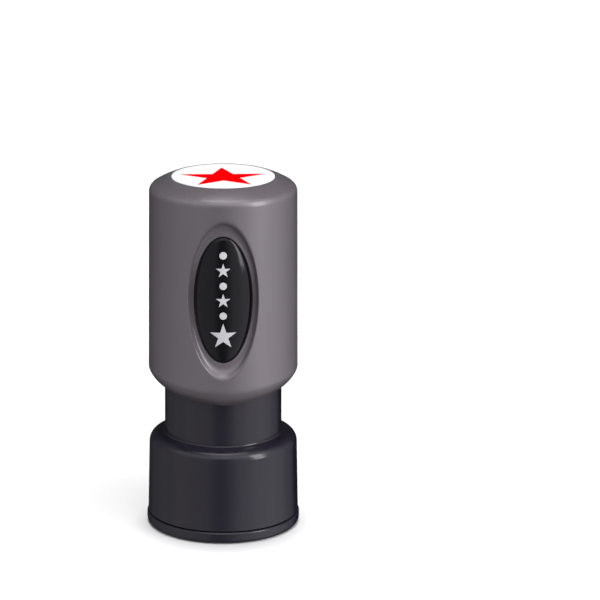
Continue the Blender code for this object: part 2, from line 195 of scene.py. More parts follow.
def add_world():
    """A studio that is bright at the sides and above, and white where it is seen directly."""
    world = bpy.data.worlds.new("studio")
    bpy.context.scene.world = world
    world.use_nodes = True
    tree = world.node_tree
    tree.nodes.clear()

    def node(kind, **settings):
        made = tree.nodes.new(kind)
        for key, value in settings.items():
            setattr(made, key, value)
        return made

    def link(source, target):
        tree.links.new(source, target)

    def ring(levels):
        """A colour ramp round the horizon."""
        made = node("ShaderNodeValToRGB")
        made.color_ramp.interpolation = "EASE"
        elements = made.color_ramp.elements
        while len(elements) < len(levels):
            elements.new(0.5)
        for element, (degrees, level) in zip(elements, levels):
            level /= STUDIO_STRENGTH
            element.position = (degrees + 180) / 360
            element.color = (level, level * RING_TINT[0], level * RING_TINT[1], 1.0)
        link(share.outputs["Result"], made.inputs[0])
        return made.outputs["Color"]

    def fade(height, limits, lower, upper):
        """lower below the limits, upper above them, and a soft change between."""
        rise = node("ShaderNodeMapRange", interpolation_type="SMOOTHSTEP")
        rise.inputs["From Min"].default_value = limits[0]
        rise.inputs["From Max"].default_value = limits[1]
        link(height, rise.inputs["Value"])
        mix = node("ShaderNodeMix", data_type="RGBA")
        link(rise.outputs["Result"], mix.inputs["Factor"])
        for name, value in (("A", lower), ("B", upper)):
            if isinstance(value, float):
                mix.inputs[name].default_value = (value / STUDIO_STRENGTH,) * 3 + (1.0,)
            else:
                link(value, mix.inputs[name])
        return mix.outputs["Result"]

    direction = node("ShaderNodeTexCoord")
    split = node("ShaderNodeSeparateXYZ")
    link(direction.outputs["Generated"], split.inputs[0])
    height = split.outputs["Z"]
    flip = node("ShaderNodeMath", operation="MULTIPLY")
    flip.inputs[1].default_value = -1.0
    link(split.outputs["Y"], flip.inputs[0])
    azimuth = node("ShaderNodeMath", operation="ARCTAN2")
    link(split.outputs["X"], azimuth.inputs[0])
    link(flip.outputs[0], azimuth.inputs[1])
    share = node("ShaderNodeMapRange")
    share.inputs["From Min"].default_value = -math.pi
    share.inputs["From Max"].default_value = math.pi
    link(azimuth.outputs[0], share.inputs["Value"])

    walls = fade(height, CELLAR_FADE, STUDIO_CELLAR, ring(STUDIO_WALLS))
    band = fade(height, BAND_FADE, walls, ring(STUDIO_BAND))
    above = fade(height, HIGH_FADE, band, ring(STUDIO_HIGH))
    overhead = node("ShaderNodeVectorMath", operation="DOT_PRODUCT")
    overhead.inputs[1].default_value = LID_DIRECTION
    link(direction.outputs["Generated"], overhead.inputs[0])
    studio = fade(overhead.outputs["Value"], LID_FADE, above, STUDIO_LID)

    seen = node("ShaderNodeLightPath")
    pick = node("ShaderNodeMix", data_type="RGBA")
    pick.inputs["B"].default_value = (1.0 / STUDIO_STRENGTH,) * 3 + (1.0,)
    link(seen.outputs["Is Camera Ray"], pick.inputs["Factor"])
    link(studio, pick.inputs["A"])
    background = node("ShaderNodeBackground")
    background.inputs["Strength"].default_value = STUDIO_STRENGTH
    link(pick.outputs["Result"], background.inputs["Color"])
    link(background.outputs[0], node("ShaderNodeOutputWorld").inputs["Surface"])


FLOOR_HALF_M = 3.0
FLOOR_GAP_M = 0.00001


def add_floor():
    """A pale floor just under the stamp. It throws no light back on the stamp."""
    bm = bmesh.new()
    bmesh.ops.create_grid(bm, x_segments=1, y_segments=1, size=FLOOR_HALF_M)
    mesh = bpy.data.meshes.new("floor")
    bm.to_mesh(mesh)
    bm.free()
    floor = bpy.data.objects.new("floor", mesh)
    bpy.context.scene.collection.objects.link(floor)
    floor.location.z = low("dust_cap") * MM - FLOOR_GAP_M
    floor.visible_glossy = False
    floor.visible_diffuse = False
    made = Shader("floor_white", (0.6, 0.6, 0.6), roughness=0.9, specular=0.0)
    made.mottle(scale=3.0, amount=0.01)
    mesh.materials.append(made.material)
    return floor


def add_lights(floor):
    """One softbox for the highlights, and fills. The floor has a fill that lights nothing else."""
    add_softbox("key", 57, 18, distance_m=0.8, size_m=(0.26, 0.66), power=2.9)
    add_fill("fill_front", 10, 70, spread_deg=40, brightness=0.2)
    add_fill("fill_above", 180, 87, spread_deg=8, brightness=0.12)
    floor_only = bpy.data.collections.new("lit_by_floor_fill")
    floor_only.objects.link(floor)
    floor_fill = add_fill("fill_floor", 180, 86, spread_deg=9, brightness=0.75)
    floor_fill.light_linking.receiver_collection = floor_only


# ------------------------------------------------------------------ materials


class Shader:
    """A Principled BSDF in object coordinates, with layers of procedural detail added to it."""

    def __init__(self, name, color, roughness, metallic=0.0, specular=0.5):
        self.material = bpy.data.materials.new(name)
        self.material.use_nodes = True
        self.tree = self.material.node_tree
        self.shader = self.tree.nodes["Principled BSDF"]
        self.shader.inputs["Base Color"].default_value = (*color, 1.0)
        self.shader.inputs["Roughness"].default_value = roughness
        self.shader.inputs["Metallic"].default_value = metallic
        self.shader.inputs["Specular IOR Level"].default_value = specular
        self.color, self.roughness = color, roughness
        self.color_from = self.roughness_from = self.normal_from = None  # last node of each chain
        self.place = self.tree.nodes.new("ShaderNodeTexCoord").outputs["Object"]

    def node(self, kind, **settings):
        made = self.tree.nodes.new(kind)
        for key, value in settings.items():
            setattr(made, key, value)
        return made

    def link(self, source, target):
        self.tree.links.new(source, target)

    def feed(self, source, constant, target):
        """Links source to target, or sets the constant where there is no source yet."""
        if source is None:
            target.default_value = constant
        else:
            self.link(source, target)

    def stretched(self, stretch):
        """Object coordinates scaled along X, Y and Z."""
        mapping = self.node("ShaderNodeMapping")
        mapping.inputs["Scale"].default_value = stretch
        self.link(self.place, mapping.inputs["Vector"])
        return mapping.outputs["Vector"]

    def noise(self, scale, detail=3.0, rough=0.5, stretch=None):
        """Noise with features of about 1/scale metres."""
        made = self.node("ShaderNodeTexNoise")
        made.inputs["Scale"].default_value = scale
        made.inputs["Detail"].default_value = detail
        made.inputs["Roughness"].default_value = rough
        self.link(self.stretched(stretch) if stretch else self.place, made.inputs["Vector"])
        return made.outputs["Fac"]

    def spread(self, value, out_low, out_high, in_low=0.3, in_high=0.7):
        """value stretched from one range to another, and clamped to it."""
        made = self.node("ShaderNodeMapRange")
        made.inputs["From Min"].default_value = in_low
        made.inputs["From Max"].default_value = in_high
        made.inputs["To Min"].default_value = out_low
        made.inputs["To Max"].default_value = out_high
        self.link(value, made.inputs["Value"])
        return made.outputs["Result"]

    def blend_color(self, factor, color):
        """Mixes color over what is there already, by factor."""
        mix = self.node("ShaderNodeMix", data_type="RGBA")
        self.feed(self.color_from, (*self.color, 1.0), mix.inputs["A"])
        mix.inputs["B"].default_value = (*color, 1.0)
        self.link(factor, mix.inputs["Factor"])
        self.color_from = mix.outputs["Result"]
        self.link(self.color_from, self.shader.inputs["Base Color"])

    def mottle(self, scale, amount, tint=(1.0, 1.0, 1.0)):
        """Slow patches a little lighter than the base colour."""
        lighter = [min(1.0, c * (1 + amount * t * 2)) for c, t in zip(self.color, tint)]
        self.blend_color(self.spread(self.noise(scale, detail=4.0), 0.0, 1.0), lighter)

    def vary_roughness(self, scale, amount, stretch=None, detail=2.0):
        """Patches of higher and lower roughness."""
        patches = self.spread(self.noise(scale, detail, rough=0.6, stretch=stretch), -amount, amount)
        add = self.node("ShaderNodeMath", operation="ADD")
        self.feed(self.roughness_from, self.roughness, add.inputs[1])
        self.link(patches, add.inputs[0])
        self.roughness_from = add.outputs[0]
        self.link(self.roughness_from, self.shader.inputs["Roughness"])

    def bump(self, height, distance_mm, strength):
        made = self.node("ShaderNodeBump")
        made.inputs["Distance"].default_value = distance_mm * MM
        made.inputs["Strength"].default_value = strength
        self.link(height, made.inputs["Height"])
        if self.normal_from is not None:
            self.link(self.normal_from, made.inputs["Normal"])
        self.normal_from = made.outputs["Normal"]
        self.link(self.normal_from, self.shader.inputs["Normal"])

    def wear(self, color, roughness):
        """Rubbed edges, where the mesh's wear attribute is high and the noise lets them show."""
        painted = self.node("ShaderNodeAttribute", attribute_name="wear")
        scratches = self.noise(900.0, detail=6.0, rough=0.65)
        broken = self.spread(scratches, 0.0, 1.0, in_low=0.42, in_high=0.62)
        both = self.node("ShaderNodeMath", operation="MULTIPLY")
        self.link(painted.outputs["Fac"], both.inputs[0])
        self.link(broken, both.inputs[1])
        self.blend_color(both.outputs[0], color)
        mix = self.node("ShaderNodeMix", data_type="FLOAT")
        self.feed(self.roughness_from, self.roughness, mix.inputs["A"])
        mix.inputs["B"].default_value = roughness
        self.link(both.outputs[0], mix.inputs["Factor"])
        self.roughness_from = mix.outputs["Result"]
        self.link(self.roughness_from, self.shader.inputs["Roughness"])

    def coat(self, weight, roughness):
        self.shader.inputs["Coat Weight"].default_value = weight
        self.shader.inputs["Coat Roughness"].default_value = roughness


def handle_grey():
    """Satin spark-eroded moulding in a warm grey."""
    made = Shader("handle_grey", (0.138, 0.122, 0.134), roughness=0.34, metallic=0.2, specular=1.0)
    made.mottle(scale=90.0, amount=0.035, tint=(1.0, 0.96, 1.0))
    made.vary_roughness(scale=160.0, amount=0.03, detail=1.0)
    made.vary_roughness(scale=1300.0, amount=0.02, detail=1.0)
    made.wear(color=(0.2, 0.185, 0.2), roughness=0.28)
    made.bump(made.noise(2600.0, detail=2.0, rough=0.5), distance_mm=0.008, strength=0.4)
    made.bump(made.noise(260.0, detail=2.0), distance_mm=0.02, strength=0.25)
    return made.material


def polished_black(name, color, roughness):
    """Polished black moulding, with hairline rubs along its axis and faint smudges."""
    made = Shader(name, color, roughness)
    made.mottle(scale=60.0, amount=0.1)
    made.vary_roughness(scale=110.0, amount=0.025, detail=1.0)
    made.vary_roughness(scale=700.0, amount=0.02, stretch=(1.0, 1.0, 0.12), detail=1.0)
    made.wear(color=(0.02, 0.02, 0.024), roughness=0.3)
    made.bump(made.noise(420.0, detail=2.0), distance_mm=0.008, strength=0.15)
    grain = made.noise(2600.0, detail=3.0, rough=0.6, stretch=(1.0, 1.0, 0.15))
    made.bump(grain, distance_mm=0.002, strength=0.4)
    return made.material


def satin_plastic(name, color, roughness):
    """Plain moulding of the inside pieces, with fine tool marks round the axis."""
    made = Shader(name, color, roughness)
    made.mottle(scale=120.0, amount=0.08)
    made.vary_roughness(scale=300.0, amount=0.07)
    marks = made.noise(1500.0, detail=3.0, rough=0.5, stretch=(0.2, 0.2, 1.6))
    made.bump(marks, distance_mm=0.006, strength=0.5)
    return made.material


def badge_gloss():
    made = Shader("badge_black", (0.0024, 0.002, 0.0032), roughness=0.12, specular=0.24)
    made.coat(0.15, 0.05)
    made.mottle(scale=200.0, amount=0.15)
    made.vary_roughness(scale=240.0, amount=0.04)
    made.bump(made.noise(330.0, detail=1.0), distance_mm=0.01, strength=0.3)
    return made.material


def print_white(name, color):
    """Screen-printed ink, a little thin in places."""
    made = Shader(name, color, roughness=0.5, specular=0.25)
    cloud = made.noise(1400.0, detail=5.0, rough=0.6)
    thin = made.spread(cloud, 0.0, 0.25, in_low=0.45, in_high=0.75)
    made.blend_color(thin, (0.3, 0.3, 0.31))
    made.bump(made.noise(3000.0, detail=3.0), distance_mm=0.006, strength=0.5)
    return made.material


def label_film():
    """White film with the faint tooth of coated paper."""
    made = Shader("label_white", (0.9, 0.9, 0.9), roughness=0.5, specular=0.3)
    made.mottle(scale=150.0, amount=0.01)
    fibre = made.noise(1800.0, detail=5.0, rough=0.65, stretch=(1.0, 0.35, 1.0))
    made.blend_color(made.spread(fibre, 0.0, 0.12, in_low=0.5, in_high=0.8), (0.78, 0.78, 0.79))
    made.bump(fibre, distance_mm=0.01, strength=0.5)
    return made.material


def star_ink():
    """Red stamping ink, darker where it pooled."""
    made = Shader("star_ink", (0.9, 0.0, 0.002), roughness=0.6, specular=0.0)
    pools = made.noise(700.0, detail=5.0, rough=0.6)
    pooled = made.spread(pools, 0.0, 0.3, in_low=0.5, in_high=0.78)
    made.blend_color(pooled, (0.74, 0.0, 0.001))
    made.bump(made.noise(2400.0, detail=4.0), distance_mm=0.006, strength=0.6)
    return made.material


def die_rubber():
    """Porous red rubber: fine open cells, wet with ink in patches."""
    made = Shader("die_red", (0.5, 0.012, 0.022), roughness=0.62)
    cells = made.node("ShaderNodeTexVoronoi", feature="F1")
    cells.inputs["Scale"].default_value = 6500.0
    made.link(made.place, cells.inputs["Vector"])
    # The open cells are painted darker: painted shade inside the pores, on the dents that the bump
    # below makes.
    pore_shade = made.spread(cells.outputs["Distance"], 1.0, 0.0, in_low=0.1, in_high=0.42)
    made.blend_color(pore_shade, (0.2, 0.003, 0.008))
    made.vary_roughness(scale=420.0, amount=0.22)
    made.bump(cells.outputs["Distance"], distance_mm=0.05, strength=0.8)
    return made.material


def ink_felt():
    """Needled felt soaked in red ink."""
    made = Shader("pad_felt", (0.32, 0.012, 0.02), roughness=0.95)
    fibres = made.noise(3200.0, detail=6.0, rough=0.75, stretch=(0.3, 1.0, 0.6))
    made.blend_color(made.spread(fibres, 0.0, 0.7, in_low=0.4, in_high=0.7), (0.5, 0.05, 0.06))
    made.shader.inputs["Sheen Weight"].default_value = 0.3
    made.bump(fibres, distance_mm=0.12, strength=0.9)
    return made.material


def black_rubber():
    made = Shader("seal_rubber", (0.018, 0.018, 0.019), roughness=0.62)
    bloom = made.spread(made.noise(500.0, detail=5.0), 0.0, 0.4, in_low=0.5, in_high=0.8)
    made.blend_color(bloom, (0.05, 0.05, 0.052))
    made.vary_roughness(scale=900.0, amount=0.12)
    made.bump(made.noise(3500.0, detail=3.0), distance_mm=0.01, strength=0.6)
    return made.material


def drawn_steel():
    """Drawn spring wire and stamped strip, with fine bright and dull streaks."""
    made = Shader("spring_steel", (0.56, 0.55, 0.53), roughness=0.27, metallic=1.0)
    streaks = made.noise(1400.0, detail=5.0, rough=0.6, stretch=(0.4, 0.4, 3.0))
    made.blend_color(made.spread(streaks, 0.0, 0.8, in_low=0.4, in_high=0.75), (0.36, 0.35, 0.34))
    made.vary_roughness(scale=900.0, amount=0.1, stretch=(0.4, 0.4, 3.0))
    made.bump(streaks, distance_mm=0.004, strength=0.5)
    return made.material


def natural_nylon():
    made = Shader("bush_nylon", (0.76, 0.75, 0.7), roughness=0.42)
    made.shader.inputs["Subsurface Weight"].default_value = 0.25
    made.shader.inputs["Subsurface Radius"].default_value = (0.0012, 0.0011, 0.0009)
    made.mottle(scale=240.0, amount=0.04)
    made.vary_roughness(scale=600.0, amount=0.08)
    made.bump(made.noise(1600.0, detail=3.0), distance_mm=0.008, strength=0.5)
    return made.material


# ------------------------------------------------------------------ mesh tools


def arc(start, radius, from_deg, to_deg, steps):
    """Points after start on an arc whose outward normal turns from from_deg to to_deg."""
    first = math.radians(from_deg)
    centre_r = start[0] - radius * math.cos(first)
    centre_z = start[1] - radius * math.sin(first)
    points = []
    for step in range(1, steps + 1):
        angle = math.radians(from_deg + (to_deg - from_deg) * step / steps)
        points.append((centre_r + radius * math.cos(angle), centre_z + radius * math.sin(angle)))
    return points


def eased(corners, steps=4):
    """A profile from corners (r, z) or (r, z, radius), each corner rounded by its radius."""
    points = []
    count = len(corners)
    for i, corner in enumerate(corners):
        here = Vector(corner[:2])
        radius = corner[2] if len(corner) > 2 else 0.0
        if radius == 0.0:
            points.append(tuple(here))
            continue
        before = (Vector(corners[i - 1][:2]) - here).normalized()
        after = (Vector(corners[(i + 1) % count][:2]) - here).normalized()
        half = before.angle(after) / 2
        back = radius / math.tan(half)
        centre = here + (before + after).normalized() * (radius / math.sin(half))
        first, last = here + before * back - centre, here + after * back - centre
        turn = first.angle_signed(last)
        for step in range(steps + 1):
            share = turn * step / steps
            spoke = Vector(
                (
                    first.x * math.cos(share) + first.y * math.sin(share),
                    -first.x * math.sin(share) + first.y * math.cos(share),
                )
            )
            points.append(tuple(centre + spoke))
    return points


def around(count):
    return [2 * math.pi * k / count - math.pi for k in range(count)]


def at(radius, angle, z):
    """A point in metres. The angle is 0 at the badge side and grows towards +X."""
    return Vector((radius * math.sin(angle), -radius * math.cos(angle), z)) * MM


def revolve(bm, profile, angles):
    """Rings of vertices. A profile point on the axis is one vertex."""
    rings = []
    for radius, z in profile:
        if radius < TINY:
            rings.append([bm.verts.new((0.0, 0.0, z * MM))] * len(angles))
        else:
            rings.append([bm.verts.new(at(radius, angle, z)) for angle in angles])
    return rings


def skin(bm, rings, closed, skip=lambda i, j: False):
    """Faces between neighbouring rings, except where skip(i, j) says to leave a gap."""
    count = len(rings[0])
    for i in range(len(rings) if closed else len(rings) - 1):
        upper, lower = rings[i], rings[(i + 1) % len(rings)]
        for j in range(count):
            if skip(i, j):
                continue
            k = (j + 1) % count
            corners = []
            for vert in (upper[j], upper[k], lower[k], lower[j]):
                if vert not in corners:
                    corners.append(vert)
            bm.faces.new(corners)


def finish_mesh(name, bm, material, sharp_deg=38.0):
    bmesh.ops.recalc_face_normals(bm, faces=bm.faces)
    mesh = bpy.data.meshes.new(name)
    bm.to_mesh(mesh)
    bm.free()
    mesh.materials.append(material)
    mesh.shade_smooth()
    mesh.set_sharp_from_angle(angle=math.radians(sharp_deg))
    piece = bpy.data.objects.new(name, mesh)
    bpy.context.scene.collection.objects.link(piece)
    weighted = piece.modifiers.new("weighted_normals", "WEIGHTED_NORMAL")
    weighted.keep_sharp = True
    return piece


def turned(name, corners, material, segments=INNER, steps=4):
    """A turned piece. Its corners run along its section, from axis to axis or as a loop."""
    profile = eased(corners, steps)
    bm = bmesh.new()
    rings = revolve(bm, profile, around(segments))
    skin(bm, rings, closed=profile[0][0] > TINY)
    return finish_mesh(name, bm, material)


def paint_wear(piece, amount):
    """Sets the wear attribute from a function of each point's radius and height."""
    wear = piece.data.attributes.new("wear", "FLOAT", "POINT")
    for i, vert in enumerate(piece.data.vertices):
        wear.data[i].value = amount(math.hypot(vert.co.x, vert.co.y) / MM, vert.co.z / MM)


def near(value, centre, width):
    """1 at centre, falling smoothly to 0 at width away."""
    share = min(1.0, abs(value - centre) / width)
    return 1 - share * share * (3 - 2 * share)


def place(piece, body, slot, *nodes):
    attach(piece, body)
    if nodes:
        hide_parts(*nodes)


# ------------------------------------------------------------------ handle

EDGE_Z = low("handle_shell")
RIM_Z = high("handle_shell")
WALL_LOW = (12.64, EDGE_Z + 3.25)
WALL_HIGH = (12.41, RIM_Z - 2.59)
SEAT_Z = RIM_Z - 0.5
SEAT_R = 8.78
BORE_R = 10.3
LIFT = 1.25  # rise of the lower edge at the two sides
LIFT_POWER = 1.3
LIFT_END_Z = EDGE_Z + 9.2
LIFT_INNER_R = 9.95  # the socket is inside this radius, and stays level

# Part of the wall that is left open for the badge's recess.
WINDOW_COLUMNS = 28
WINDOW_ROWS = 30
WINDOW_Z = (EDGE_Z + 4.2, RIM_Z - 3.6)

BADGE_LOW, BADGE_HIGH = low("badge_plate"), high("badge_plate")
BADGE_MID = (BADGE_LOW + BADGE_HIGH) / 2
BADGE_HALF = (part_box("badge_plate")[1].x / MM, (BADGE_HIGH - BADGE_LOW) / 2)
LEDGE_DEPTH = 1.2
POCKET_DEPTH = 1.5
DOME = 1.0  # rise of the badge's face from its rim to its middle

# Ovals on the front wall: half width, half height, centre height.
OUTER_OVAL = (BADGE_HALF[0] + 1.03, BADGE_HALF[1] + 2.55, BADGE_MID + 0.15)
LEDGE_OVAL = (BADGE_HALF[0] + 0.63, BADGE_HALF[1] + 1.0, BADGE_MID + 0.05)
POCKET_OVAL = (BADGE_HALF[0] + 0.1, BADGE_HALF[1] + 0.1, BADGE_MID)
BADGE_OVAL = (BADGE_HALF[0], BADGE_HALF[1], BADGE_MID)

# Section of the recess. A place is 0 at the outer oval and 1 at the ledge, and then 0 at the ledge
# and 1 at the pocket.
ROLL = ((-0.42, 0.0), (-0.27, 0.01), (-0.12, 0.055), (0.02, 0.17))  # place, depth
SLOPE = ((0.14, 0.29), (0.28, 0.47), (0.44, 0.64), (0.6, 0.77), (0.78, 0.88), (1.0, 0.96))
LEDGE = ((0.3, 0.99), (0.6, 1.0), (0.9, 1.0))  # place, share of the ledge's depth, as in SLOPE


def wall_radius(z):
    share = (z - WALL_LOW[1]) / (WALL_HIGH[1] - WALL_LOW[1])
    return WALL_LOW[0] + (WALL_HIGH[0] - WALL_LOW[0]) * share


def on_wall(x, z, depth=0.0):
    """A point in metres on the front of the handle, at this depth below its wall."""
    radius = wall_radius(z) - depth
    return Vector((x, -math.sqrt(radius * radius - x * x), z)) * MM


def between(a, b, share):
    return tuple(p + (q - p) * share for p, q in zip(a, b))


def on_oval(oval, angle, share=1.0):
    half_width, half_height, centre = oval
    return half_width * share * math.cos(angle), centre + half_height * share * math.sin(angle)


def handle_profile():
    """Outer face from the label's seat down, then the bore and the socket.

    Also gives the index of the window's top row.
    """
    crest_round, crest_deg, shoulder_round, shoulder_deg = 14.3, 71, 1.5, 58.67
    turn_round, chamfer_round = 2.0, 5.2
    points = eased([(0.0, SEAT_Z), (SEAT_R, SEAT_Z, 0.12), (SEAT_R, RIM_Z - 0.14)])
    points += [(SEAT_R + 0.01, RIM_Z - 0.07), (SEAT_R + 0.05, RIM_Z - 0.02), (SEAT_R + 0.13, RIM_Z)]
    points += arc(points[-1], crest_round, crest_deg, shoulder_deg, 6)
    points += arc(points[-1], shoulder_round, shoulder_deg, 0, 12)
    points[-1] = WALL_HIGH
    bottom, top = WINDOW_Z
    top_row = len(points)
    for row in range(WINDOW_ROWS + 1):
        z = top + (bottom - top) * row / WINDOW_ROWS
        points.append((wall_radius(z), z))
    points.append(WALL_LOW)
    points += arc(points[-1], turn_round, 0, -20, 4)
    points += arc(points[-1], chamfer_round, -20, -56, 8)
    lip_r, inner_r = points[-1][0], 10.15
    points += [(lip_r - 0.05, EDGE_Z + 0.12), (lip_r - 0.13, EDGE_Z + 0.03), (lip_r - 0.22, EDGE_Z)]
    points += [(inner_r + 0.06, EDGE_Z + 0.02), (inner_r, EDGE_Z + 0.12), (inner_r, EDGE_Z + 2.7)]
    points += [(BORE_R, EDGE_Z + 3.4), (BORE_R, EDGE_Z + 6.0), (BORE_R, LIFT_END_Z)]
    ceiling = SEAT_Z - 2.57
    socket_r, socket_bore, socket_low, socket_end = 5.0, 3.05, 39.2, 56.4
    points += eased(
        [
            (BORE_R, LIFT_END_Z),
            (BORE_R, ceiling, 0.8),
            (socket_r, ceiling, 0.5),
            (socket_r, socket_low, 0.3),
            (socket_bore, socket_low, 0.3),
            (socket_bore, socket_end, 0.2),
            (0.0, socket_end),
        ]
    )[1:]
    return points, top_row


def lift_edge(bm):
    """The lower edge stands higher at the two sides than at the front and back."""
    for vert in bm.verts:
        z, r = vert.co.z / MM, math.hypot(vert.co.x, vert.co.y) / MM
        if z > LIFT_END_Z or r < LIFT_INNER_R:
            continue
        share = (z - EDGE_Z) / (LIFT_END_Z - EDGE_Z)
        fade = 1 - share * share * (3 - 2 * share)
        vert.co.z += LIFT * (abs(vert.co.x) / MM / r) ** LIFT_POWER * fade * MM


def recess_steps():
    """Ovals from the wall down into the recess, as (oval, share, depth)."""
    steps = [(between(OUTER_OVAL, LEDGE_OVAL, where), 1.0, depth) for where, depth in ROLL]
    parts = ((OUTER_OVAL, LEDGE_OVAL, SLOPE), (LEDGE_OVAL, POCKET_OVAL, LEDGE))
    for first, second, section in parts:
        for where, share in section:
            steps.append((between(first, second, where), 1.0, LEDGE_DEPTH * share))
    steps.append((POCKET_OVAL, 1.0, LEDGE_DEPTH + 0.06))
    steps.append((POCKET_OVAL, 1.0, POCKET_DEPTH))
    for share in (0.8, 0.55, 0.3):
        steps.append((POCKET_OVAL, share, POCKET_DEPTH))
    return steps


def add_recess(bm, loop):
    """Fills the window in the wall: wall round the recess, its slope, its ledge and its floor."""
    start = [(vert.co.x / MM, vert.co.z / MM) for vert in loop]
    first_oval = recess_steps()[0][0]
    angles = [math.atan2((z - first_oval[2]) / first_oval[1], x / first_oval[0]) for x, z in start]
    rings = [loop]
    for share in (0.15, 0.32, 0.5, 0.67, 0.82, 0.93):
        ring = []
        for (x, z), angle in zip(start, angles):
            to_x, to_z = on_oval(first_oval, angle)
            ring.append(bm.verts.new(on_wall(x + (to_x - x) * share, z + (to_z - z) * share)))
        rings.append(ring)
    for oval, share, depth in recess_steps():
        places = [on_oval(oval, angle, share) for angle in angles]
        rings.append([bm.verts.new(on_wall(*where, depth)) for where in places])
    skin(bm, rings, closed=False)
    centre = bm.verts.new(on_wall(0.0, POCKET_OVAL[2], POCKET_DEPTH))
    last = rings[-1]
    for j in range(len(last)):
        bm.faces.new((last[j], last[(j + 1) % len(last)], centre))


def add_key(bm, side):
    """Rib inside the bore that runs in a slot of the neck."""
    inner, outer, half_width = side * 8.95, side * (BORE_R + 0.6), 0.9
    low_z, high_z = 34.0, SEAT_Z - 2.0
    box = bmesh.ops.create_cube(bm, size=1.0)["verts"]
    for vert in box:
        x = inner if vert.co.x * side < 0 else outer
        y = math.copysign(half_width, vert.co.y)
        z = high_z if vert.co.z > 0 else low_z
        vert.co = Vector((x, y, z)) * MM
    edges = {edge for vert in box for edge in vert.link_edges}
    bmesh.ops.bevel(bm, geom=list(edges), offset=0.15 * MM, segments=2, affect="EDGES")


def make_handle():
    bm = bmesh.new()
    profile, top_row = handle_profile()
    rings = revolve(bm, profile, around(FINE))
    first_column = (FINE - WINDOW_COLUMNS) // 2
    last_column = first_column + WINDOW_COLUMNS
    rows = range(top_row, top_row + WINDOW_ROWS)
    columns = range(first_column, last_column)
    skin(bm, rings, closed=False, skip=lambda i, j: i in rows and j in columns)
    lift_edge(bm)
    bottom_row = top_row + WINDOW_ROWS
    loop = [rings[bottom_row][j] for j in range(first_column, last_column)]
    loop += [rings[i][last_column] for i in range(bottom_row, top_row, -1)]
    loop += [rings[top_row][j] for j in range(last_column, first_column, -1)]
    loop += [rings[i][first_column] for i in range(top_row, bottom_row)]
    add_recess(bm, loop)
    add_key(bm, -1)
    add_key(bm, 1)
    handle = finish_mesh("handle", bm, handle_grey())

    def rubbed(radius, z):
        edge = near(z, EDGE_Z + 0.3, 1.6) if radius > 9.9 else 0.0
        shoulder = near(z, RIM_Z - 1.6, 1.0) if radius > 11.0 else 0.0
        crest = near(z, RIM_Z, 0.35) if radius > 8.7 else 0.0
        return min(1.0, 0.5 * edge + 0.35 * shoulder + 0.6 * crest)

    paint_wear(handle, rubbed)
    place(handle, "handle", "handle_grey", "handle_shell")


def dome_depth(x, z):
    """Depth of the badge's face below the handle's wall."""
    share = (x / BADGE_OVAL[0]) ** 2 + ((z - BADGE_OVAL[2]) / BADGE_OVAL[1]) ** 2
    return LEDGE_DEPTH - DOME * math.sqrt(max(0.0, 1 - share))


def make_badge():
    bm = bmesh.new()
    angles = around(BADGE_SEGMENTS)
    back = POCKET_DEPTH - 0.1
    rings = []
    for share in (0.3, 0.6, 0.85, 0.97):
        rings.append([bm.verts.new(on_wall(*on_oval(BADGE_OVAL, a, share), back)) for a in angles])
    rings.append([bm.verts.new(on_wall(*on_oval(BADGE_OVAL, a), back - 0.06)) for a in angles])
    for share in (1.0, 0.995, 0.98, 0.95, 0.91, 0.86, 0.8, 0.72, 0.63, 0.53, 0.42, 0.3, 0.18, 0.08):
        ring = []
        for a in angles:
            x, z = on_oval(BADGE_OVAL, a, share)
            ring.append(bm.verts.new(on_wall(x, z, dome_depth(x, z))))
        rings.append(ring)
    skin(bm, rings, closed=False)
    middle = BADGE_OVAL[2]
    for ring, depth in ((rings[0], back), (rings[-1], dome_depth(0.0, middle))):
        centre = bm.verts.new(on_wall(0.0, middle, depth))
        for j in range(len(ring)):
            bm.faces.new((ring[j], ring[(j + 1) % len(ring)], centre))
    badge = finish_mesh("badge", bm, badge_gloss(), sharp_deg=60.0)
    place(badge, "handle", "badge_black", "badge_plate")


def star_points(radius, turn_deg=0.0, centre=(0.0, 0.0)):
    """Outline of a plain star with five points, one of them up before it is turned."""
    notch = radius * math.cos(math.radians(72)) / math.cos(math.radians(36))
    outline = []
    for i in range(10):
        angle = math.pi * i / 5 + math.radians(turn_deg)
        r = notch if i % 2 else radius
        outline.append((centre[0] + r * math.sin(angle), centre[1] + r * math.cos(angle)))
    return outline


def disc_points(radius, centre, count=28):
    turns = [2 * math.pi / count * i for i in range(count)]
    return [(centre[0] + radius * math.cos(a), centre[1] + radius * math.sin(a)) for a in turns]


def printed(bm, outline, centre, project, thickness, cuts):
    """A thin closed layer of ink. Lines from centre to the outline stay inside it.

    project(x, y, lift) puts a point of the drawing on the surface that is printed.
    """
    front = bmesh.new()
    middle = front.verts.new((*centre, 0.0))
    ring = [front.verts.new((*point, 0.0)) for point in outline]
    for j in range(len(ring)):
        front.faces.new((ring[j], ring[(j + 1) % len(ring)], middle))
    bmesh.ops.subdivide_edges(front, edges=front.edges, cuts=cuts, use_grid_fill=True)
    front.verts.index_update()
    layers = []
    for lift in (thickness, 0.0):
        layers.append([bm.verts.new(project(v.co.x, v.co.y, lift)) for v in front.verts])
    for face in front.faces:
        indices = [v.index for v in face.verts]
        bm.faces.new([layers[0][i] for i in indices])
        bm.faces.new([layers[1][i] for i in reversed(indices)])
    for edge in front.edges:
        if len(edge.link_faces) == 1:
            a, b = (v.index for v in edge.verts)
            bm.faces.new((layers[0][a], layers[0][b], layers[1][b], layers[1][a]))
    front.free()


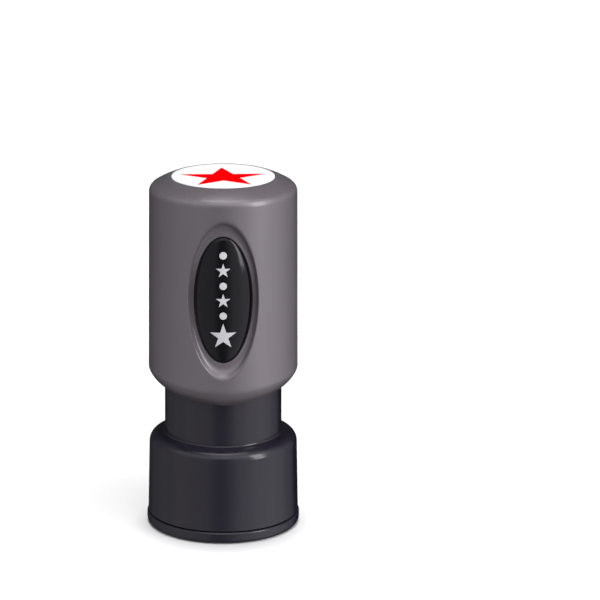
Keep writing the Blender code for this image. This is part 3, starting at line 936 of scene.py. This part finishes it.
def make_badge_print():
    """A plain ornament: one star at the foot, and a column of dots and smaller stars above it."""
    bm = bmesh.new()

    def project(x, z, lift):
        return on_wall(x, z, dome_depth(x, z) - lift + 0.004)

    ink_mm, pitch = 0.02, 2.55
    foot = (0.0, BADGE_MID - 6.0)
    printed(bm, star_points(2.3, centre=foot), foot, project, ink_mm, cuts=4)
    for i in range(5):
        centre = (0.0, BADGE_MID - 2.4 + pitch * i)
        if i % 2:
            printed(bm, star_points(1.25, centre=centre), centre, project, ink_mm, cuts=2)
        else:
            printed(bm, disc_points(0.62, centre), centre, project, ink_mm, cuts=1)
    white = print_white("badge_ink", (0.62, 0.62, 0.63))
    ink = finish_mesh("badge_print", bm, white, sharp_deg=50.0)
    place(ink, "handle", "badge_black")


LABEL_STAR_R = 7.6
LABEL_STAR_TURN = -2.0  # degrees
LABEL_STAR_FLAT = 0.88  # its height as a share of that of an even star
LABEL_STAR_MIDDLE = -0.8


def make_label():
    low_z, high_z = low("index_label"), high("index_label")
    radius = reach("index_label")
    label = turned(
        "label",
        [(0.0, low_z), (radius, low_z, 0.05), (radius, high_z, 0.08), (0.0, high_z)],
        label_film(),
        segments=FINE,
        steps=3,
    )
    place(label, "handle", "label_white", "index_label")
    bm = bmesh.new()

    def project(x, y, lift):
        return Vector((x, y * LABEL_STAR_FLAT + LABEL_STAR_MIDDLE, high_z + lift - 0.003)) * MM

    outline = star_points(LABEL_STAR_R, LABEL_STAR_TURN)
    printed(bm, outline, (0.0, 0.0), project, thickness=0.015, cuts=3)
    star = finish_mesh("label_star", bm, star_ink(), sharp_deg=50.0)
    place(star, "handle", "label_white")


# ------------------------------------------------------------------ skirt and cap

SKIRT_LOW, SKIRT_HIGH = low("skirt"), high("skirt")
NECK_R = 9.95
NECK_BORE = 8.5
SHOULDER_Z = 16.1
SHOULDER_ROUND = 1.8
WEB_HIGH, WEB_LOW = 17.1, 15.0
SLOT_HALF = 1.15
SLOT_LOW = 28.0


def skirt_profile():
    """Lower edge, bell, shoulder and neck outside, then neck bore, web and bell inside."""
    points = [(12.62, SKIRT_LOW), (12.74, SKIRT_LOW + 0.03), (12.82, SKIRT_LOW + 0.1)]
    points += [(12.85, SKIRT_LOW + 0.22), (12.77, 6.0), (12.69, 10.0)]
    points.append((12.6, SHOULDER_Z - SHOULDER_ROUND))
    points += arc(points[-1], SHOULDER_ROUND, 0, 84, 14)
    fillet = 0.35
    points.append((NECK_R + fillet, points[-1][1] + 0.05))
    points += arc(points[-1], -fillet, 90, 0, 8)
    points += [(NECK_R - 0.01, 20.0), (NECK_R - 0.03, 24.0), (NECK_R - 0.05, SLOT_LOW)]
    top_r = NECK_R - 0.07
    points += arc((top_r, SKIRT_HIGH - 0.3), 0.3, 0, 90, 4)
    points += [(NECK_BORE + 0.2, SKIRT_HIGH), (NECK_BORE, SKIRT_HIGH - 0.2), (NECK_BORE, SLOT_LOW)]
    points += eased(
        [
            (NECK_BORE, SLOT_LOW),
            (NECK_BORE, WEB_HIGH, 0.4),
            (4.0, WEB_HIGH, 0.1),
            (4.0, WEB_LOW, 0.1),
            (10.3, WEB_LOW, 0.7),
            (11.2, 13.0, 0.6),
            (11.44, SKIRT_LOW + 0.2),
            (11.55, SKIRT_LOW),
        ]
    )[1:]
    return points


def slot_angles():
    """Even angles, with those nearest to the slots' sides moved onto them."""
    angles = around(FINE)
    half = math.asin(SLOT_HALF / NECK_R)
    for side in (-math.pi / 2, math.pi / 2):
        for edge in (side - half, side + half):
            nearest = min(range(FINE), key=lambda k: abs(angles[k] - edge))
            angles[nearest] = edge
    return angles, half


def make_skirt():
    bm = bmesh.new()
    profile = skirt_profile()
    angles, half = slot_angles()
    rings = revolve(bm, profile, angles)
    rows = [i for i, (r, z) in enumerate(profile) if z >= SLOT_LOW - TINY]
    first, last = rows[0], rows[-1]
    columns = set()
    for side in (-math.pi / 2, math.pi / 2):
        columns |= {j for j in range(FINE) if side - half - TINY <= angles[j] < side + half - TINY}
    skin(bm, rings, closed=True, skip=lambda i, j: first <= i < last and j in columns)
    for j in columns:
        k = j + 1
        bm.faces.new((rings[first][j], rings[first][k], rings[last][k], rings[last][j]))
        if j - 1 not in columns:
            bm.faces.new([rings[i][j] for i in range(first, last + 1)])
        if k not in columns:
            bm.faces.new([rings[i][k] for i in range(last, first - 1, -1)])
    black = polished_black("skirt_black", (0.0125, 0.0105, 0.0185), 0.2)
    skirt = finish_mesh("skirt_shell", bm, black)

    def rubbed(radius, z):
        shoulder = near(z, SHOULDER_Z - 0.5, 0.9) if radius > 11.2 else 0.0
        mouth = near(z, SKIRT_LOW, 0.5)
        return min(1.0, 0.35 * shoulder + 0.5 * mouth)

    paint_wear(skirt, rubbed)
    place(skirt, "base", "skirt_black", "skirt")
    return black


def make_cap(black):
    radius, foot_round = reach("dust_cap"), 0.85
    rim_z = SKIRT_LOW - 0.1
    plug_low, plug_high, plug_top = 10.05, 11.15, high("dust_cap")
    cap = turned(
        "cap",
        [
            (0.0, 0.4),
            (9.3, 0.4, 0.1),
            (9.6, 0.0, 0.1),
            (radius, 0.0, foot_round),
            (radius, rim_z, 0.3),
            (plug_high, rim_z),
            (plug_high, plug_top, 0.35),
            (plug_low, plug_top, 0.2),
            (plug_low, 1.2, 0.4),
            (0.0, 1.2),
        ],
        black,
        segments=FINE,
        steps=6,
    )

    def rubbed(r, z):
        lip = near(z, rim_z, 0.4) if r > radius - 0.6 else 0.0
        foot = near(z, 0.0, 0.5) if r > radius - 0.8 else 0.0
        return min(1.0, 0.45 * lip + 0.6 * foot)

    paint_wear(cap, rubbed)
    place(cap, "cap", "skirt_black", "dust_cap")


# ------------------------------------------------------------------ inside pieces


def make_bush():
    low_z, head_z = low("stem_bush"), high("stem_bush")
    bore, barrel, flange = 3.02, 3.9, reach("stem_bush")
    seat = WEB_HIGH + 0.1
    bush = turned(
        "stem_bush_moulding",
        [
            (bore, low_z, 0.12),
            (barrel, low_z, 0.15),
            (barrel, seat, 0.05),
            (flange, seat, 0.12),
            (flange, seat + 0.8, 0.15),
            (barrel, seat + 0.8, 0.12),
            (barrel, head_z, 0.2),
            (bore, head_z, 0.12),
        ],
        natural_nylon(),
    )
    place(bush, "base", "bush_nylon", "stem_bush")


def make_holder(black):
    rim_z, plate_z = low("die_holder"), high("die_holder")
    cup_r, cup_bore, hole = reach("die_holder"), 8.9, 2.3
    ceiling = plate_z - 1.4
    holder = turned(
        "die_cup",
        [
            (cup_bore, rim_z, 0.12),
            (cup_r, rim_z, 0.2),
            (cup_r, plate_z, 0.5),
            (hole, plate_z, 0.08),
            (hole, ceiling, 0.08),
            (cup_bore, ceiling, 0.25),
        ],
        black,
        segments=FINE,
    )
    place(holder, "plunger", "holder_black", "die_holder")


def make_stem():
    """Tube with a groove for the clip and one for the O-ring."""
    low_z, top_z, clip_z = low("stem"), high("stem"), low("e_clip")
    radius, foot, bore = reach("stem"), 2.2, 1.45
    shoulder = high("die_holder") + 0.1
    corners = [(bore, low_z, 0.1), (foot, low_z, 0.15)]
    corners += [(foot, shoulder, 0.05), (radius, shoulder, 0.15)]
    grooves = ((clip_z - 0.07, clip_z + 0.63, 2.3), (49.45, 50.55, 2.08))
    for groove_low, groove_high, floor in grooves:
        corners += [
            (radius, groove_low, 0.05),
            (floor, groove_low, 0.05),
            (floor, groove_high, 0.05),
            (radius, groove_high, 0.05),
        ]
    corners += [(radius, top_z, 0.35), (bore, top_z, 0.15)]
    stem = turned("stem_tube", corners, satin_plastic("stem_plastic", (0.05, 0.05, 0.054), 0.38))
    place(stem, "plunger", "stem_plastic", "stem")


def make_ring_and_plug():
    rubber = black_rubber()
    low_z, high_z = low("stem_o_ring"), high("stem_o_ring")
    cord, middle = (high_z - low_z) / 2, (low_z + high_z) / 2
    centre_r = reach("stem_o_ring") - cord
    turns = [2 * math.pi * i / 16 for i in range(16)]
    profile = [(centre_r + cord * math.cos(a), middle + cord * math.sin(a)) for a in turns]
    ring = turned("o_ring", profile, rubber)
    place(ring, "plunger", "seal_rubber", "stem_o_ring")

    plug_low, plug_high = low("filler_plug"), high("filler_plug")
    head_z, head_r, barrel = plug_high - 1.0, reach("filler_plug"), 1.35
    plug = turned(
        "ink_plug",
        [
            (0.0, plug_low),
            (barrel - 0.3, plug_low, 0.1),
            (barrel, plug_low + 0.7, 0.3),
            (barrel, head_z, 0.05),
            (head_r, head_z, 0.12),
            (head_r, plug_high, 0.35),
            (0.7, plug_high, 0.15),
            (0.5, plug_high - 0.25, 0.1),
            (0.0, plug_high - 0.25),
        ],
        rubber,
        segments=64,
    )
    place(plug, "plunger", "seal_rubber", "filler_plug")


def make_washer(steel):
    low_z, high_z = low("spring_washer"), high("spring_washer")
    bore, rim = 3.02, reach("spring_washer")
    washer = turned(
        "washer",
        [(bore, low_z, 0.08), (rim, low_z, 0.12), (rim, high_z, 0.2), (bore, high_z, 0.12)],
        steel,
    )
    place(washer, "plunger", "spring_steel", "spring_washer")


def make_spring(steel):
    """Coil with a closed turn and a ground face at each end."""
    low_z, high_z = low("return_spring"), high("return_spring")
    wire, coil = 0.45, 5.25
    end_pitch, end_turns, turns, steps, sides = 1.05, 1.0, 8.5, 56, 14
    first, last = low_z + wire, high_z - wire
    free_pitch = (last - first - 2 * end_turns * end_pitch) / (turns - 2 * end_turns)
    bm = bmesh.new()
    rings = []
    for i in range(int(turns * steps) + 1):
        turn = i / steps
        inside = min(max(turn - end_turns, 0.0), turns - 2 * end_turns)
        z = first + end_pitch * (turn - inside) + free_pitch * inside
        angle = 2 * math.pi * turn
        out = Vector((math.cos(angle), math.sin(angle), 0.0))
        ring = []
        for k in range(sides):
            a = 2 * math.pi * k / sides
            point = out * (coil + wire * math.cos(a)) + Vector((0.0, 0.0, z + wire * math.sin(a)))
            ring.append(bm.verts.new(point * MM))
        rings.append(ring)
    skin(bm, rings, closed=False)
    bm.faces.new(rings[0])
    bm.faces.new(rings[-1])
    spring = finish_mesh("spring_coil", bm, steel, sharp_deg=50.0)
    place(spring, "base", "spring_steel", "return_spring")
    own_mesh(spring)


def make_pad():
    low_z, high_z, radius = low("ink_pad"), high("ink_pad"), reach("ink_pad")
    pad = turned(
        "felt_pad",
        [(0.0, low_z), (radius, low_z, 0.25), (radius, high_z, 0.25), (0.0, high_z)],
        ink_felt(),
    )
    place(pad, "plunger", "pad_felt", "ink_pad")


def make_die(black):
    """Flanged porous disc with the raised star that prints."""
    face_z, top_z = low("stamp_die"), high("stamp_die")
    base_z, flange_z = face_z + 0.6, top_z - 1.35
    body_r, flange_r, star_r = 7.9, reach("stamp_die"), 7.5
    rubber = die_rubber()
    disc = turned(
        "die_disc",
        [
            (0.0, base_z),
            (body_r, base_z, 0.15),
            (body_r, flange_z, 0.05),
            (flange_r, flange_z, 0.1),
            (flange_r, top_z, 0.1),
            (0.0, top_z),
        ],
        rubber,
        segments=FINE,
    )
    place(disc, "plunger", "die_red", "stamp_die")
    bm = bmesh.new()
    section = [(star_r + 0.18, base_z + 0.05), (star_r, base_z - 0.1)]
    section += [(star_r, face_z + 0.06), (star_r - 0.1, face_z)]
    layers = []
    for radius, z in section:
        layers.append([bm.verts.new(Vector((x, y, z)) * MM) for x, y in star_points(radius)])
    skin(bm, layers, closed=False)
    bm.faces.new(layers[0])
    bm.faces.new(layers[-1])
    relief = finish_mesh("die_star", bm, rubber, sharp_deg=30.0)
    place(relief, "plunger", "die_red")

    low_z, high_z = low("die_ring"), high("die_ring")
    ring = turned(
        "retaining_ring",
        [(8.05, low_z, 0.15), (8.8, low_z, 0.12), (8.8, high_z, 0.12), (8.05, high_z, 0.12)],
        black,
        segments=FINE,
    )
    place(ring, "plunger", "holder_black", "die_ring")


def finish_clip(steel):
    """The clip's CAD shape stays, with the steel of the spring."""
    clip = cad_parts["e_clip"]
    clip.data.materials.clear()
    clip.data.materials.append(steel)


def main():
    scene = bpy.context.scene
    scene.view_settings.view_transform = "Standard"
    add_camera()
    add_world()
    add_lights(add_floor())

    make_handle()
    make_badge()
    make_badge_print()
    make_label()
    black = make_skirt()
    make_cap(black)
    holder = satin_plastic("holder_black", (0.022, 0.022, 0.024), 0.42)
    steel = drawn_steel()
    make_bush()
    make_holder(holder)
    make_stem()
    make_ring_and_plug()
    make_washer(steel)
    make_spring(steel)
    make_pad()
    make_die(holder)
    finish_clip(steel)


main()
